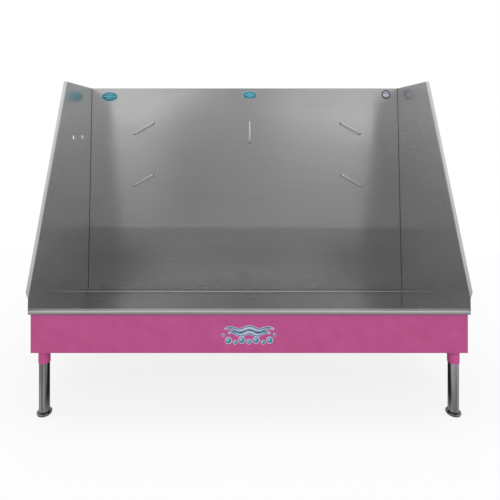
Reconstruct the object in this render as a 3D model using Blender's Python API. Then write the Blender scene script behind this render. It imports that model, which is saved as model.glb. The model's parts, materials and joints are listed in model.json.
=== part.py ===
"""Raised washing tub for dogs: a shallow stainless basin with tall splash panels on four levelling legs.

Everything is placed from two references, the front face of the basin's rim and the floor that the feet
stand on. One empty moves the whole tub so that the world origin lies under the middle of its box.
"""

import math

import bmesh
import bpy
from mathutils import Matrix, Vector

# Overall tub, in metres
tub_width = 1.473
tub_height = 1.162
washing_depth = 0.568
back_setback = 0.054
sheet = 0.0015
joint_gap = 0.0003

# Basin
rim_height = 0.362
rim_depth = 0.024
rim_lip = 0.013
rim_return = 0.012
bend_radius = 0.005
basin_floor = 0.204
front_wall_foot = 0.085
floor_fall = 0.012
rear_upstand = 0.010
drain_y = 0.310
drain_land = 0.130
drain_hole_radius = 0.0435

# Splash panels
side_top_front = 0.321
side_slant_foot = 0.400
side_flange = 0.0115
side_flange_cut = 0.023
side_corner_rise = 0.028
side_corner_run = 0.045
rear_flange = 0.015
rear_flange_relief = 0.030
back_flange = 0.013
panel_bend = 0.0025
faucet_hole_radius = 0.0135
faucet_centres = 0.1016
faucet_front_y = 0.397
faucet_height = 0.932

# Restraint bars, each a bent rod on the back panel
bar_diameter = 0.00635
bar_length = 0.112
middle_bar_length = 0.106
bar_standoff = 0.019
bar_bend = 0.010
bar_tilt = math.radians(30.0)
bar_end_inset = 0.2435
bar_pattern_x = 0.011
middle_bar_x = 0.023
upper_bar_height = 0.968
lower_bar_height = 0.722
middle_bar_height = 0.951

# Front apron
apron_end_inset = 0.008
apron_setback = 0.003
apron_bottom = 0.222
apron_return = 0.012

# Leg frame
leg_inset = 0.0395
front_leg_y = 0.036
rear_leg_y = 0.538
leg_diameter = 0.0349
leg_wall = 0.0015
leg_bottom = 0.0125
socket_wall = 0.0015
socket_clearance = 0.0003
socket_bottom = 0.176
socket_cap = 0.003
front_socket_top = 0.268
rail_width = 0.0254
rail_height = 0.019
rail_wall = 0.0015
side_rail_offset = 0.008
front_rail_height = 0.0254
front_bearer_y = 0.205
rear_bearer_y = 0.425

# Set screws that hold the legs in their sockets
screw_diameter = 0.008
screw_length = 0.006
screw_boss_diameter = 0.012
screw_boss_length = 0.003
front_screw_above_mouth = 0.038
rear_screw_above_mouth = 0.014
screw_key = 0.004
screw_key_depth = 0.003
front_screw_angle = math.radians(40.0)
rear_screw_angle = math.radians(90.0)

# Levelling feet
stud_diameter = 0.012
stud_length = 0.058
stud_seat = 0.0024
insert_length = 0.022
insert_flange = 0.0015
foot_diameter = 0.049
foot_flange = 0.0045
foot_boss_diameter = 0.026
foot_edge = 0.0015
pad_thickness = 0.003
pad_inset = 0.0015

# Drain
strainer_flange_radius = 0.056
strainer_flange = 0.0015
strainer_wall = 0.0015
strainer_depth = 0.045
drain_clearance = 0.0005
spigot_radius = 0.0235
spigot_length = 0.012
gasket_thickness = 0.003
washer_thickness = 0.001
locknut_thickness = 0.008
locknut_radius = 0.0555
locknut_lobe = 0.0035
locknut_lobes = 8
tail_radius = 0.019
tail_wall = 0.0012
tail_length = 0.060
tail_flange = 0.002
coupling_wall = 0.003
coupling_grip = 0.009
basket_wall = 0.001
basket_depth = 0.030
basket_clearance = 0.0015
basket_rim = 0.004
basket_stem = 0.0035
basket_knob = 0.009
basket_knob_height = 0.006
basket_hole_radius = 0.0025
basket_hole_count = 10

# Roundness of turned pieces and of bent sheet
turned_sides = 32
small_sides = 20
bend_steps = 3

STEEL = ("stainless", (0.55, 0.55, 0.54), 0.32, 1.0)
COAT = ("pink_powder_coat", (0.462, 0.087, 0.242), 0.45, 0.0)
ZINC = ("zinc_steel", (0.60, 0.61, 0.63), 0.35, 1.0)
RUBBER = ("black_rubber", (0.02, 0.02, 0.02), 0.75, 0.0)
FIBRE = ("washer_fibre", (0.10, 0.03, 0.02), 0.80, 0.0)

# Values that follow from the sizes above
half_width = tub_width / 2
half_tray = half_width - sheet - joint_gap
bar_spread = half_width - bar_end_inset
leg_x = half_width - leg_inset
side_rail_x = leg_x + side_rail_offset
back_slope = back_setback / (tub_height - basin_floor)
back_lean = math.atan(back_slope)
overall_depth = washing_depth + back_setback + back_flange
land_height = basin_floor - floor_fall
leg_radius = leg_diameter / 2
socket_inner = leg_radius + socket_clearance
socket_outer = socket_inner + socket_wall


def back_face(height):
    """Depth of the back panel's washing face at a height."""
    return washing_depth + (height - basin_floor) * back_slope


def clear_scene():
    for item in list(bpy.data.objects):
        bpy.data.objects.remove(item, do_unlink=True)


def material(finish):
    """The finish's material, made the first time that it is asked for."""
    name, colour, roughness, metallic = finish
    found = bpy.data.materials.get(name)
    if found:
        return found
    made = bpy.data.materials.new(name)
    made.use_nodes = True
    shader = made.node_tree.nodes["Principled BSDF"]
    shader.inputs["Base Color"].default_value = (*colour, 1.0)
    shader.inputs["Roughness"].default_value = roughness
    shader.inputs["Metallic"].default_value = metallic
    made.diffuse_color = (*colour, 1.0)
    return made


def add_empty(name, parent, location):
    empty = bpy.data.objects.new(name, None)
    empty.empty_display_size = 0.05
    empty.location = location
    empty.parent = parent
    bpy.context.collection.objects.link(empty)
    return empty


def add_mesh(name, bm, finish, parent, location=(0, 0, 0)):
    """Turn a bmesh into an object whose round sides are shaded smooth."""
    mesh = bpy.data.meshes.new(name)
    bm.to_mesh(mesh)
    bm.free()
    mesh.shade_smooth()
    mesh.set_sharp_from_angle(angle=math.radians(30.0))
    item = bpy.data.objects.new(name, mesh)
    item.location = location
    item.parent = parent
    if finish:
        mesh.materials.append(material(finish))
    bpy.context.collection.objects.link(item)
    return item


def helper(item):
    """Mark an object that only shapes another one."""
    item.hide_render = True
    item.display_type = "WIRE"
    return item


def boolean(item, tool, operation):
    modifier = item.modifiers.new(operation.lower(), "BOOLEAN")
    modifier.operation = operation
    modifier.solver = "EXACT"
    modifier.object = helper(tool)


def thicken(item):
    """Give a sheet surface its thickness, away from the side its faces look to."""
    modifier = item.modifiers.new("sheet thickness", "SOLIDIFY")
    modifier.thickness = sheet
    modifier.offset = -1.0
    modifier.use_even_offset = True
    modifier.use_quality_normals = True


def bent(path, radius):
    """Round the corners of an open path of (depth, height) points."""
    rounded = [path[0]]
    for before, corner, after in zip(path, path[1:], path[2:]):
        corner = Vector(corner)
        back = (Vector(before) - corner).normalized()
        ahead = (Vector(after) - corner).normalized()
        half = back.angle(ahead) / 2
        reach = radius / math.tan(half)
        centre = corner + (back + ahead).normalized() * radius / math.sin(half)
        start = corner + back * reach - centre
        turn = start.angle_signed(corner + ahead * reach - centre)
        for step in range(bend_steps + 1):
            spoke = start @ Matrix.Rotation(turn * step / bend_steps, 2)
            rounded.append(tuple(centre + spoke))
    rounded.append(path[-1])
    return rounded


def sweep_across(bm, path, columns):
    """Faces between neighbouring columns along X, one strip for each step of the path."""
    rows = [[bm.verts.new((x, y, z)) for x in columns] for y, z in path]
    for lower, upper in zip(rows, rows[1:]):
        for index in range(len(columns) - 1):
            bm.faces.new((lower[index], lower[index + 1], upper[index + 1], upper[index]))


def join_seams(bm):
    bmesh.ops.remove_doubles(bm, verts=bm.verts, dist=0.00001)


def turned(profile, sides):
    """Solid of revolution about Z from a closed profile of (radius, height) points."""
    bm = bmesh.new()
    points = [bm.verts.new((radius, 0.0, height)) for radius, height in profile]
    edges = [bm.edges.new(pair) for pair in zip(points, points[1:])]
    if profile[0][0] > 0:
        edges.append(bm.edges.new((points[-1], points[0])))
    bmesh.ops.spin(bm, geom=points + edges, axis=(0, 0, 1), cent=(0, 0, 0), angle=math.tau,
                   steps=sides, use_merge=True)
    join_seams(bm)
    bmesh.ops.recalc_face_normals(bm, faces=bm.faces)
    return bm


def ring(inner, outer, low, high):
    return [(inner, high), (outer, high), (outer, low), (inner, low)]


def rod(radius, low, high):
    return [(0.0, high), (radius, high), (radius, low), (0.0, low)]


def floor_fraction(x, y):
    """How far down the floor's fall a point lies, from 0 at the edges to 1 at the drain land."""
    half_land = drain_land / 2
    side = (half_tray - abs(x)) / (half_tray - half_land)
    front = (y - floor_front) / (drain_y - half_land - floor_front)
    back = (floor_back - y) / (floor_back - drain_y - half_land)
    return min(side, front, back, 1.0)


def under_floor(x, y):
    """Height of the basin floor's underside."""
    return basin_floor - floor_fall * floor_fraction(x, y) - sheet


def front_path():
    """Section of the rim and the front wall, from the lip's return to the floor."""
    lip_bottom = rim_height - rim_lip
    path = [
        (rim_return, lip_bottom),
        (0.0, lip_bottom),
        (0.0, rim_height),
        (rim_depth, rim_height),
        (front_wall_foot, basin_floor),
        (front_wall_foot + rim_depth, basin_floor),
    ]
    return bent(path, bend_radius)[:-1]


def rear_path():
    """Section of the floor's rear bend and the short upstand that the back panel stands on."""
    top = basin_floor + rear_upstand
    path = [
        (washing_depth - rim_depth, basin_floor),
        (washing_depth, basin_floor),
        (back_face(top), top),
    ]
    return bent(path, bend_radius)[1:]


floor_front = front_path()[-1][0]
floor_back = rear_path()[0][0]
rim_rows = 2 * (bend_steps + 1) + 2
rim_flat_end = front_path()[rim_rows - 1][0]


def make_basin(tub):
    bm = bmesh.new()
    section = front_path()
    sweep_across(bm, section[:rim_rows], (-half_width, -half_tray, half_tray, half_width))
    sweep_across(bm, section[rim_rows - 1:], (-half_tray, half_tray))
    sweep_across(bm, rear_path(), (-half_tray, half_tray))
    half_land = drain_land / 2
    outer = [(-half_tray, floor_front), (half_tray, floor_front),
             (half_tray, floor_back), (-half_tray, floor_back)]
    inner = [(-half_land, drain_y - half_land), (half_land, drain_y - half_land),
             (half_land, drain_y + half_land), (-half_land, drain_y + half_land)]
    edge = [bm.verts.new((x, y, basin_floor)) for x, y in outer]
    land = [bm.verts.new((x, y, land_height)) for x, y in inner]
    for index in range(4):
        following = (index + 1) % 4
        bm.faces.new((edge[index], edge[following], land[following], land[index]))
    bm.faces.new(land)
    join_seams(bm)
    basin = add_mesh("basin", bm, STEEL, tub)
    thicken(basin)
    cutter = add_mesh("drain_cutter", turned(rod(drain_hole_radius, -0.02, 0.02), turned_sides), None,
                      tub, (0, drain_y, land_height))
    boolean(basin, cutter, "DIFFERENCE")


def make_back_panel(tub):
    bottom = basin_floor + rear_upstand + joint_gap
    path = [
        (back_face(bottom), bottom),
        (back_face(tub_height), tub_height),
        (back_face(tub_height) + back_flange, tub_height),
    ]
    bm = bmesh.new()
    sweep_across(bm, bent(path, panel_bend), (-half_tray, half_tray))
    thicken(add_mesh("back_panel", bm, STEEL, tub))


def side_outline():
    """Side panel outline as (depth, height), from its lower front corner round to the rim's step."""
    behind = (sheet + joint_gap) / math.cos(back_lean)
    low = basin_floor - sheet
    relief = tub_height - rear_flange_relief
    step = rim_flat_end + joint_gap
    return [
        (step + side_corner_run, low),
        (back_face(low) + behind, low),
        (back_face(relief) + behind, relief),
        (back_face(tub_height) + behind, tub_height),
        (side_top_front, tub_height),
        (0.0, side_slant_foot),
        (0.0, rim_height + joint_gap),
        (step, rim_height + joint_gap),
        (step, low + side_corner_rise),
    ]


def make_side_panel(tub, name, side):
    """Side panel with a flange out along its top and slanted front, and one in behind the back panel."""
    inner = side * (half_width - sheet)
    outer = side * (half_width + side_flange)
    bm = bmesh.new()
    wall = [bm.verts.new((inner, y, z)) for y, z in side_outline()]
    faces = [bm.faces.new(wall)]
    rear_low, rear_high, rear_top, top_front, slant_foot = wall[1:6]
    behind = [bm.verts.new((inner - side * rear_flange, v.co.y, v.co.z)) for v in (rear_low, rear_high)]
    faces.append(bm.faces.new((rear_low, behind[0], behind[1], rear_high)))
    edge_back = bm.verts.new((outer, rear_top.co.y, rear_top.co.z))
    edge_front = bm.verts.new((outer, top_front.co.y, top_front.co.z))
    slant = (top_front.co - slant_foot.co).normalized()
    foot = slant_foot.co + slant * side_flange_cut
    edge_foot = bm.verts.new((outer, foot.y, foot.z))
    faces.append(bm.faces.new((rear_top, edge_back, edge_front, top_front)))
    faces.append(bm.faces.new((top_front, edge_front, edge_foot, slant_foot)))
    weights = bm.edges.layers.float.new("bevel_weight_edge")
    for folded in ((rear_top, top_front), (top_front, edge_front), (top_front, slant_foot)):
        bm.edges.get(folded)[weights] = 1.0
    bmesh.ops.recalc_face_normals(bm, faces=bm.faces)
    if faces[0].normal.x * side > 0:
        bmesh.ops.reverse_faces(bm, faces=bm.faces)
    panel = add_mesh(name, bm, STEEL, tub)
    round_bends = panel.modifiers.new("bends", "BEVEL")
    round_bends.width = panel_bend
    round_bends.segments = 2
    round_bends.limit_method = "WEIGHT"
    thicken(panel)
    return panel


def make_side_panels(tub):
    make_side_panel(tub, "right_side_panel", 1)
    left = make_side_panel(tub, "left_side_panel", -1)
    for index in range(2):
        place = (-half_width, faucet_front_y + index * faucet_centres, faucet_height)
        cutter = add_mesh(f"faucet_cutter_{index}", turned(rod(faucet_hole_radius, -0.01, 0.01), turned_sides),
                          None, tub, place)
        cutter.rotation_euler = (0, math.radians(90.0), 0)
        boolean(left, cutter, "DIFFERENCE")


def make_restraint_bar(tub, name, x, height, tilt, length):
    """A rod bent back to the panel at both ends, lying along local X with its ends on local Y."""
    half = (length - bar_diameter) / 2
    path = [(-half, -joint_gap), (-half, -bar_standoff), (half, -bar_standoff), (half, -joint_gap)]
    curve = bpy.data.curves.new(name, "CURVE")
    curve.dimensions = "3D"
    curve.fill_mode = "FULL"
    curve.bevel_depth = bar_diameter / 2
    curve.bevel_resolution = 3
    curve.use_fill_caps = True
    points = bent(path, bar_bend)
    spline = curve.splines.new("POLY")
    spline.points.add(len(points) - 1)
    for point, (along, out) in zip(spline.points, points):
        point.co = (along, out, 0.0, 1.0)
    curve.materials.append(material(STEEL))
    bar = bpy.data.objects.new(name, curve)
    bar.location = (x, back_face(height), height)
    bar.rotation_euler = (Matrix.Rotation(-back_lean, 3, "X") @ Matrix.Rotation(-tilt, 3, "Y")).to_euler()
    bar.parent = tub
    bpy.context.collection.objects.link(bar)


def make_restraint_bars(tub):
    for row, height in (("upper", upper_bar_height), ("lower", lower_bar_height)):
        for side, sign in (("left", -1), ("right", 1)):
            make_restraint_bar(tub, f"{row}_{side}_restraint_bar", bar_pattern_x + sign * bar_spread, height,
                               -sign * bar_tilt, bar_length)
    make_restraint_bar(tub, "middle_restraint_bar", middle_bar_x, middle_bar_height,
                       math.radians(90.0), middle_bar_length)


def make_apron(tub):
    """Shallow tray on edge: the painted front with a return on all four sides."""
    half = half_width - apron_end_inset
    low = apron_bottom
    high = rim_height - rim_lip - joint_gap
    front = apron_setback
    back = apron_setback + apron_return
    bm = bmesh.new()
    corners = [(-half, low), (half, low), (half, high), (-half, high)]
    near = [bm.verts.new((x, front, z)) for x, z in corners]
    far = [bm.verts.new((x, back, z)) for x, z in corners]
    bm.faces.new(near)
    for index in range(4):
        following = (index + 1) % 4
        bm.faces.new((near[index], far[index], far[following], near[following]))
    apron = add_mesh("front_apron", bm, COAT, tub)
    thicken(apron)


def box_tube(tub, name, middle, size, length_axis):
    """Square tube, open at both ends, with its length along X or Y."""
    bm = bmesh.new()
    width, height, length = size
    loops = []
    for end in (-length / 2, length / 2):
        for inset in (0.0, rail_wall):
            half_w = width / 2 - inset
            half_h = height / 2 - inset
            corners = ((-half_w, -half_h), (half_w, -half_h), (half_w, half_h), (-half_w, half_h))
            if length_axis == "X":
                loops.append([bm.verts.new((end, across, up)) for across, up in corners])
            else:
                loops.append([bm.verts.new((across, end, up)) for across, up in corners])
    near_outer, near_inner, far_outer, far_inner = loops
    for first, second in ((near_outer, near_inner), (near_inner, far_inner),
                          (far_inner, far_outer), (far_outer, near_outer)):
        for index in range(4):
            following = (index + 1) % 4
            bm.faces.new((first[index], first[following], second[following], second[index]))
    bmesh.ops.recalc_face_normals(bm, faces=bm.faces)
    add_mesh(name, bm, COAT, tub, middle)


def make_rails(tub):
    """Square tubes that join the four sockets and carry the basin's floor."""
    reach = socket_outer + joint_gap
    side_top = under_floor(leg_x - socket_outer, drain_y) - joint_gap
    side_middle = side_top - rail_height / 2
    side_length = rear_leg_y - front_leg_y - 2 * reach
    for name, side in (("left_side_rail", -1), ("right_side_rail", 1)):
        box_tube(tub, name, (side * side_rail_x, (front_leg_y + rear_leg_y) / 2, side_middle),
                 (rail_width, rail_height, side_length), "Y")

    rear_top = under_floor(0.0, rear_leg_y - rail_width / 2) - joint_gap
    box_tube(tub, "rear_rail", (0, rear_leg_y, rear_top - rail_height / 2),
             (rail_width, rail_height, 2 * (leg_x - reach)), "X")

    front_back = apron_setback + sheet + joint_gap + rail_width
    offset = max(front_leg_y - front_back, 0.0)
    front_half = leg_x - math.sqrt(reach ** 2 - offset ** 2)
    front_low = apron_bottom + sheet + joint_gap
    box_tube(tub, "front_rail", (0, front_back - rail_width / 2, front_low + front_rail_height / 2),
             (rail_width, front_rail_height, 2 * front_half), "X")

    bearer_length = 2 * (side_rail_x - rail_width / 2 - joint_gap)
    toward_drain = rail_width / 2
    for name, y, inner in (("front_floor_bearer", front_bearer_y, front_bearer_y + toward_drain),
                           ("rear_floor_bearer", rear_bearer_y, rear_bearer_y - toward_drain)):
        top = under_floor(0.0, inner) - joint_gap
        box_tube(tub, name, (0, y, top - rail_height / 2), (rail_width, rail_height, bearer_length), "X")


def make_socket(tub, name, x, y, top, height, turn):
    """Blind socket for a leg, with a tapped boss for its set screw at the height given."""
    profile = [(0.0, top), (socket_outer, top), (socket_outer, socket_bottom),
               (socket_inner, socket_bottom), (socket_inner, top - socket_cap), (0.0, top - socket_cap)]
    socket = add_mesh(name, turned(profile, turned_sides), COAT, tub, (x, y, 0))
    boss_start = socket_outer - socket_wall / 2
    boss = add_mesh(f"{name}_boss", turned(rod(screw_boss_diameter / 2, boss_start,
                                               socket_outer + screw_boss_length), small_sides),
                    None, tub, (x, y, height))
    boss.rotation_euler = turn
    boolean(socket, boss, "UNION")
    hole = add_mesh(f"{name}_tapping", turned(rod(screw_diameter / 2 + joint_gap, leg_radius / 2,
                                                  socket_outer + 2 * screw_boss_length), small_sides),
                    None, tub, (x, y, height))
    hole.rotation_euler = turn
    boolean(socket, hole, "DIFFERENCE")


def make_set_screw(tub, name, x, y, height, turn):
    start = leg_radius + joint_gap
    profile = rod(screw_diameter / 2, start, start + screw_length)
    screw = add_mesh(name, turned(profile, small_sides), ZINC, tub, (x, y, height))
    screw.rotation_euler = turn
    end = start + screw_length
    key = add_mesh(f"{name}_key", turned(rod(screw_key / 2, end - screw_key_depth, end + screw_key), 6),
                   None, tub, screw.location)
    key.rotation_euler = turn
    boolean(screw, key, "DIFFERENCE")


def make_foot(tub, place, x, y):
    """Levelling foot: its pieces hang on an empty that lies on the line the foot travels along."""
    axis = add_empty(f"{place}_foot_axis", tub, (x, y, 0))
    radius = foot_diameter / 2
    flange_low = pad_thickness + joint_gap
    flange_top = flange_low + foot_flange
    boss_top = leg_bottom - insert_flange - joint_gap
    stud_radius = stud_diameter / 2
    seat = flange_low + stud_seat
    base = [(0.0, seat), (stud_radius + joint_gap, seat), (stud_radius + joint_gap, boss_top),
            (foot_boss_diameter / 2, boss_top), (foot_boss_diameter / 2 + foot_edge, flange_top),
            (radius - foot_edge, flange_top), (radius, flange_top - foot_edge),
            (radius, flange_low), (0.0, flange_low)]
    add_mesh(f"{place}_foot_base", turned(base, turned_sides), STEEL, axis)
    add_mesh(f"{place}_foot_pad", turned(rod(radius - pad_inset, 0.0, pad_thickness), turned_sides),
             RUBBER, axis)
    stud_low = seat + joint_gap
    add_mesh(f"{place}_foot_stud", turned(rod(stud_radius, stud_low, stud_low + stud_length), small_sides),
             ZINC, axis)


def make_leg(tub, place, x, y, socket_top, screw_height, turn):
    make_socket(tub, f"{place}_leg_socket", x, y, socket_top, screw_height, turn)
    make_set_screw(tub, f"{place}_set_screw", x, y, screw_height, turn)
    bore = leg_radius - leg_wall
    tube = ring(bore, leg_radius, leg_bottom, socket_top - socket_cap - joint_gap)
    add_mesh(f"{place}_leg_tube", turned(tube, turned_sides), STEEL, tub, (x, y, 0))
    hole = stud_diameter / 2 + joint_gap
    insert = [(hole, leg_bottom + insert_length), (bore - joint_gap, leg_bottom + insert_length),
              (bore - joint_gap, leg_bottom - joint_gap), (leg_radius, leg_bottom - joint_gap),
              (leg_radius, leg_bottom - insert_flange), (hole, leg_bottom - insert_flange)]
    add_mesh(f"{place}_leg_insert", turned(insert, turned_sides), ZINC, tub, (x, y, 0))
    make_foot(tub, place, x, y)


def make_legs(tub):
    rear_top = under_floor(leg_x - socket_outer, rear_leg_y - socket_outer) - joint_gap
    ends = (("front", front_leg_y, front_socket_top, front_screw_above_mouth, front_screw_angle),
            ("rear", rear_leg_y, rear_top, rear_screw_above_mouth, rear_screw_angle))
    for end, y, top, above_mouth, angle in ends:
        for side, sign in (("left", -1), ("right", 1)):
            inward = angle if sign < 0 else math.pi - angle
            turn = (0, math.radians(90.0), inward)
            make_leg(tub, f"{end}_{side}", sign * leg_x, y, top, socket_bottom + above_mouth, turn)


def make_strainer(drain):
    """Strainer body: a flanged cup through the basin's hole with a threaded spigot below."""
    flange_low = joint_gap
    flange_top = flange_low + strainer_flange
    cup = drain_hole_radius - drain_clearance
    bottom = -strainer_depth
    spigot_end = bottom - spigot_length
    body = [(strainer_flange_radius, flange_top), (strainer_flange_radius, flange_low), (cup, flange_low),
            (cup, bottom), (spigot_radius, bottom), (spigot_radius, spigot_end),
            (spigot_radius - strainer_wall, spigot_end),
            (spigot_radius - strainer_wall, bottom + strainer_wall),
            (cup - strainer_wall, bottom + strainer_wall), (cup - strainer_wall, flange_top)]
    add_mesh("strainer_body", turned(body, turned_sides), STEEL, drain)
    return cup, flange_top, spigot_end


def make_basket(drain, cup, flange_top):
    """Lift-out hair basket that hangs by its rim in the strainer."""
    outer = cup - strainer_wall - basket_clearance
    inner = outer - basket_wall
    rim_low = flange_top + joint_gap
    rim_top = rim_low + basket_wall
    bottom = rim_low - basket_depth
    deck = bottom + basket_wall
    knob_low = rim_low - basket_knob_height
    profile = [(0.0, rim_low), (basket_knob, rim_low), (basket_knob, knob_low), (basket_stem, knob_low),
               (basket_stem, deck), (inner, deck), (inner, rim_top),
               (cup + basket_rim, rim_top), (cup + basket_rim, rim_low), (outer, rim_low),
               (outer, bottom), (0.0, bottom)]
    basket = add_mesh("strainer_basket", turned(profile, turned_sides), STEEL, drain)
    holes = bmesh.new()
    pitch = (basket_stem + inner) / 2
    for index in range(basket_hole_count):
        angle = math.tau * index / basket_hole_count
        place = Matrix.Translation((pitch * math.cos(angle), pitch * math.sin(angle), bottom))
        bmesh.ops.create_cone(holes, cap_ends=True, segments=8, radius1=basket_hole_radius,
                              radius2=basket_hole_radius, depth=4 * basket_wall, matrix=place)
    boolean(basket, add_mesh("basket_holes", holes, None, drain), "DIFFERENCE")


def make_locknut(drain, cup, top):
    """Lobed nut under the basin that pulls the strainer's flange down on the floor."""
    bm = bmesh.new()
    count = locknut_lobes * 4
    loops = []
    for height in (top - locknut_thickness, top):
        for bore in (True, False):
            loop = []
            for index in range(count):
                angle = math.tau * index / count
                raised = index % 4 < 2
                outer = locknut_radius if raised else locknut_radius - locknut_lobe
                radius = cup + joint_gap if bore else outer
                loop.append(bm.verts.new((radius * math.cos(angle), radius * math.sin(angle), height)))
            loops.append(loop)
    low_inner, low_outer, high_inner, high_outer = loops
    for first, second in ((low_inner, low_outer), (low_outer, high_outer),
                          (high_outer, high_inner), (high_inner, low_inner)):
        for index in range(count):
            following = (index + 1) % count
            bm.faces.new((first[index], first[following], second[following], second[index]))
    bmesh.ops.recalc_face_normals(bm, faces=bm.faces)
    add_mesh("strainer_locknut", bm, ZINC, drain)


def make_tailpiece(drain, spigot_end):
    washer_top = spigot_end - joint_gap
    washer_low = washer_top - washer_thickness
    add_mesh("tailpiece_washer", turned(ring(tail_radius - tail_wall, spigot_radius, washer_low, washer_top),
                                        turned_sides), FIBRE, drain)
    top = washer_low - joint_gap
    flange_low = top - tail_flange
    tail = [(spigot_radius, top), (spigot_radius, flange_low), (tail_radius, flange_low),
            (tail_radius, top - tail_length), (tail_radius - tail_wall, top - tail_length),
            (tail_radius - tail_wall, top)]
    add_mesh("drain_tailpiece", turned(tail, turned_sides), STEEL, drain)
    lip_top = flange_low - joint_gap
    lip_low = lip_top - coupling_wall
    thread = spigot_radius + joint_gap
    nut_top = spigot_end + coupling_grip
    nut = [(thread, nut_top), (thread + coupling_wall, nut_top), (thread + coupling_wall, lip_low),
           (tail_radius + joint_gap, lip_low), (tail_radius + joint_gap, lip_top), (thread, lip_top)]
    add_mesh("coupling_nut", turned(nut, turned_sides), ZINC, drain)


def make_drain(tub):
    drain = add_empty("drain_axis", tub, (0, drain_y, land_height))
    cup, flange_top, spigot_end = make_strainer(drain)
    make_basket(drain, cup, flange_top)
    bore = cup + joint_gap
    gasket_top = -sheet - joint_gap
    gasket_low = gasket_top - gasket_thickness
    add_mesh("strainer_gasket", turned(ring(bore, strainer_flange_radius, gasket_low, gasket_top),
                                       turned_sides), RUBBER, drain)
    washer_top = gasket_low - joint_gap
    washer_low = washer_top - washer_thickness
    add_mesh("friction_washer", turned(ring(bore, strainer_flange_radius, washer_low, washer_top),
                                       turned_sides), FIBRE, drain)
    make_locknut(drain, cup, washer_low - joint_gap)
    make_tailpiece(drain, spigot_end)


def build():
    clear_scene()
    tub = add_empty("tub", None, (0, -overall_depth / 2, 0))
    make_basin(tub)
    make_back_panel(tub)
    make_side_panels(tub)
    make_restraint_bars(tub)
    make_apron(tub)
    make_rails(tub)
    make_legs(tub)
    make_drain(tub)


build()
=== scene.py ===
"""Looks of a raised stainless steel tub for washing and grooming dogs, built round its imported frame."""
import json
import math

import bmesh
import bpy
from mathutils import Matrix, Vector


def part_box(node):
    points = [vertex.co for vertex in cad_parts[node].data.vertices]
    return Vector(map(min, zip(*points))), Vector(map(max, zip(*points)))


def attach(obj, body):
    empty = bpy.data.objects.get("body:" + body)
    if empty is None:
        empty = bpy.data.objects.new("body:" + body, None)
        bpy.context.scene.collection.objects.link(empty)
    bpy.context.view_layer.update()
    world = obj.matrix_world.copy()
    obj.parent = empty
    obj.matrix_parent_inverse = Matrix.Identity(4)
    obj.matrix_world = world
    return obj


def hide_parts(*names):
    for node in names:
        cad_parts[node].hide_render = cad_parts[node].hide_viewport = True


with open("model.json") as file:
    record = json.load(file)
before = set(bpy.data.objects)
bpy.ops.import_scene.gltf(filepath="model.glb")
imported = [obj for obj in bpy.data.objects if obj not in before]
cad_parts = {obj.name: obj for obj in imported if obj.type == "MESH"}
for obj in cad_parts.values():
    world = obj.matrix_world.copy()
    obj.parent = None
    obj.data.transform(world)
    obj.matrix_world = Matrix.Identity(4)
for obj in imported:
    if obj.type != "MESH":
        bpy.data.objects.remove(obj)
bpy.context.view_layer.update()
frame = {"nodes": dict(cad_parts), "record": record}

# A quarter turn, and shared sizes in metres
UPRIGHT = math.radians(90.0)
SHEET = 0.0015
PANEL_BACK_FLANGE = 0.013
GAP = 0.0003
TUBE_WALL = 0.0015
EDGE = 0.0004

# Roundness of turned and swept pieces
TURNED_SIDES = 96
SMALL_SIDES = 40
ROD_SIDES = 20
ARC_STEPS = 6
SMOOTH_ANGLE = math.radians(40.0)

# Restraint bars and the weld beads at their ends, whose crown and waist are shares of the rod's radius and
# the bead's width
BAR_ROD = 0.00635
BAR_BEND = 0.010
BAR_TILT = math.radians(30.0)
BEAD_WIDTH = 0.0020
BEAD_HEIGHT = 0.0017
BEAD_CROWN = 0.9
BEAD_WAIST = 0.45
BEAD_ROUND = 0.0008

# Feet
FOOT_FLANGE = 0.0045
FOOT_BOSS = 0.013
FOOT_NECK = 0.001
FOOT_FILLET = 0.0015
FOOT_CORNER = 0.0016
FOOT_UNDERCUT = 0.0006
PAD_TOP_EDGE = 0.0005
PAD_EDGE = 0.0008

# Foot studs' thread
THREAD_PITCH = 0.00175
THREAD_DEPTH = 0.0009
THREAD_STEPS = 6
THREAD_SIDES = 24

# Set screw bosses, rails and basket
SCREW_RADIUS = 0.004
BOSS_RADIUS = 0.006
BOSS_LENGTH = 0.003
RAIL_WALL = 0.0015
RAIL_CORNER = 0.0025
BASKET_WALL = 0.001
BASKET_RIM = 0.0065
BASKET_CORNER = 0.002
KNOB_RADIUS = 0.009
KNOB_HEIGHT = 0.006
KNOB_TOP_EDGE = 0.0018
KNOB_EDGE = 0.0012
STEM_RADIUS = 0.0035
STEM_FILLET = 0.001
BASKET_HOLE = 0.0019
HOLE_SIDES = 16
BASKET_HOLES = ((0.010, 8), (0.0165, 14), (0.023, 20), (0.0295, 26), (0.0355, 32))

# Faucet holes of the left panel: how far out its outer face lies, their height, depths and radius, and
# the collars outside them
FAUCET_FACE = 0.7365
FAUCET_HEIGHT = 0.932
FAUCET_PLACES = (0.0795, 0.1811)
FAUCET_RADIUS = 0.0135
COLLAR_STANDOFF = 0.0018
COLLAR_WALL = 0.0035
COLLAR_LENGTH = 0.0038

# Rolled rim of the basin and the plugs in its ends
RIM_LIP = 0.013
RIM_RETURN = 0.012
PLUG_CORNER = 0.0028
PLUG_DEPTH = 0.002
PLUG_INSET = 0.0005
PLUG_FACE = 0.92

# Seams: their radii, how far they stay from the sheets' ends, and the height at which the walls are probed
SEAM_RADIUS = 0.0003
BEAD_RADIUS = 0.0007
SEAM_SIDES = 10
SEAM_STEPS = 24
SEAM_FOOT = 0.006
SEAM_HEAD = 0.002
SEAM_BACK = 0.004
SEAM_FRONT = 0.1
PROBE_HEIGHT = 0.6

# Printed film: its thickness, how deep a layer reaches as a share of it, and how far the flat face
# reaches on an oval and on a bubble
FILM = 0.00012
FILM_OVERLAP = 1.25
OVAL_FACE = 0.985
BUBBLE_FACE = 0.97

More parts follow.
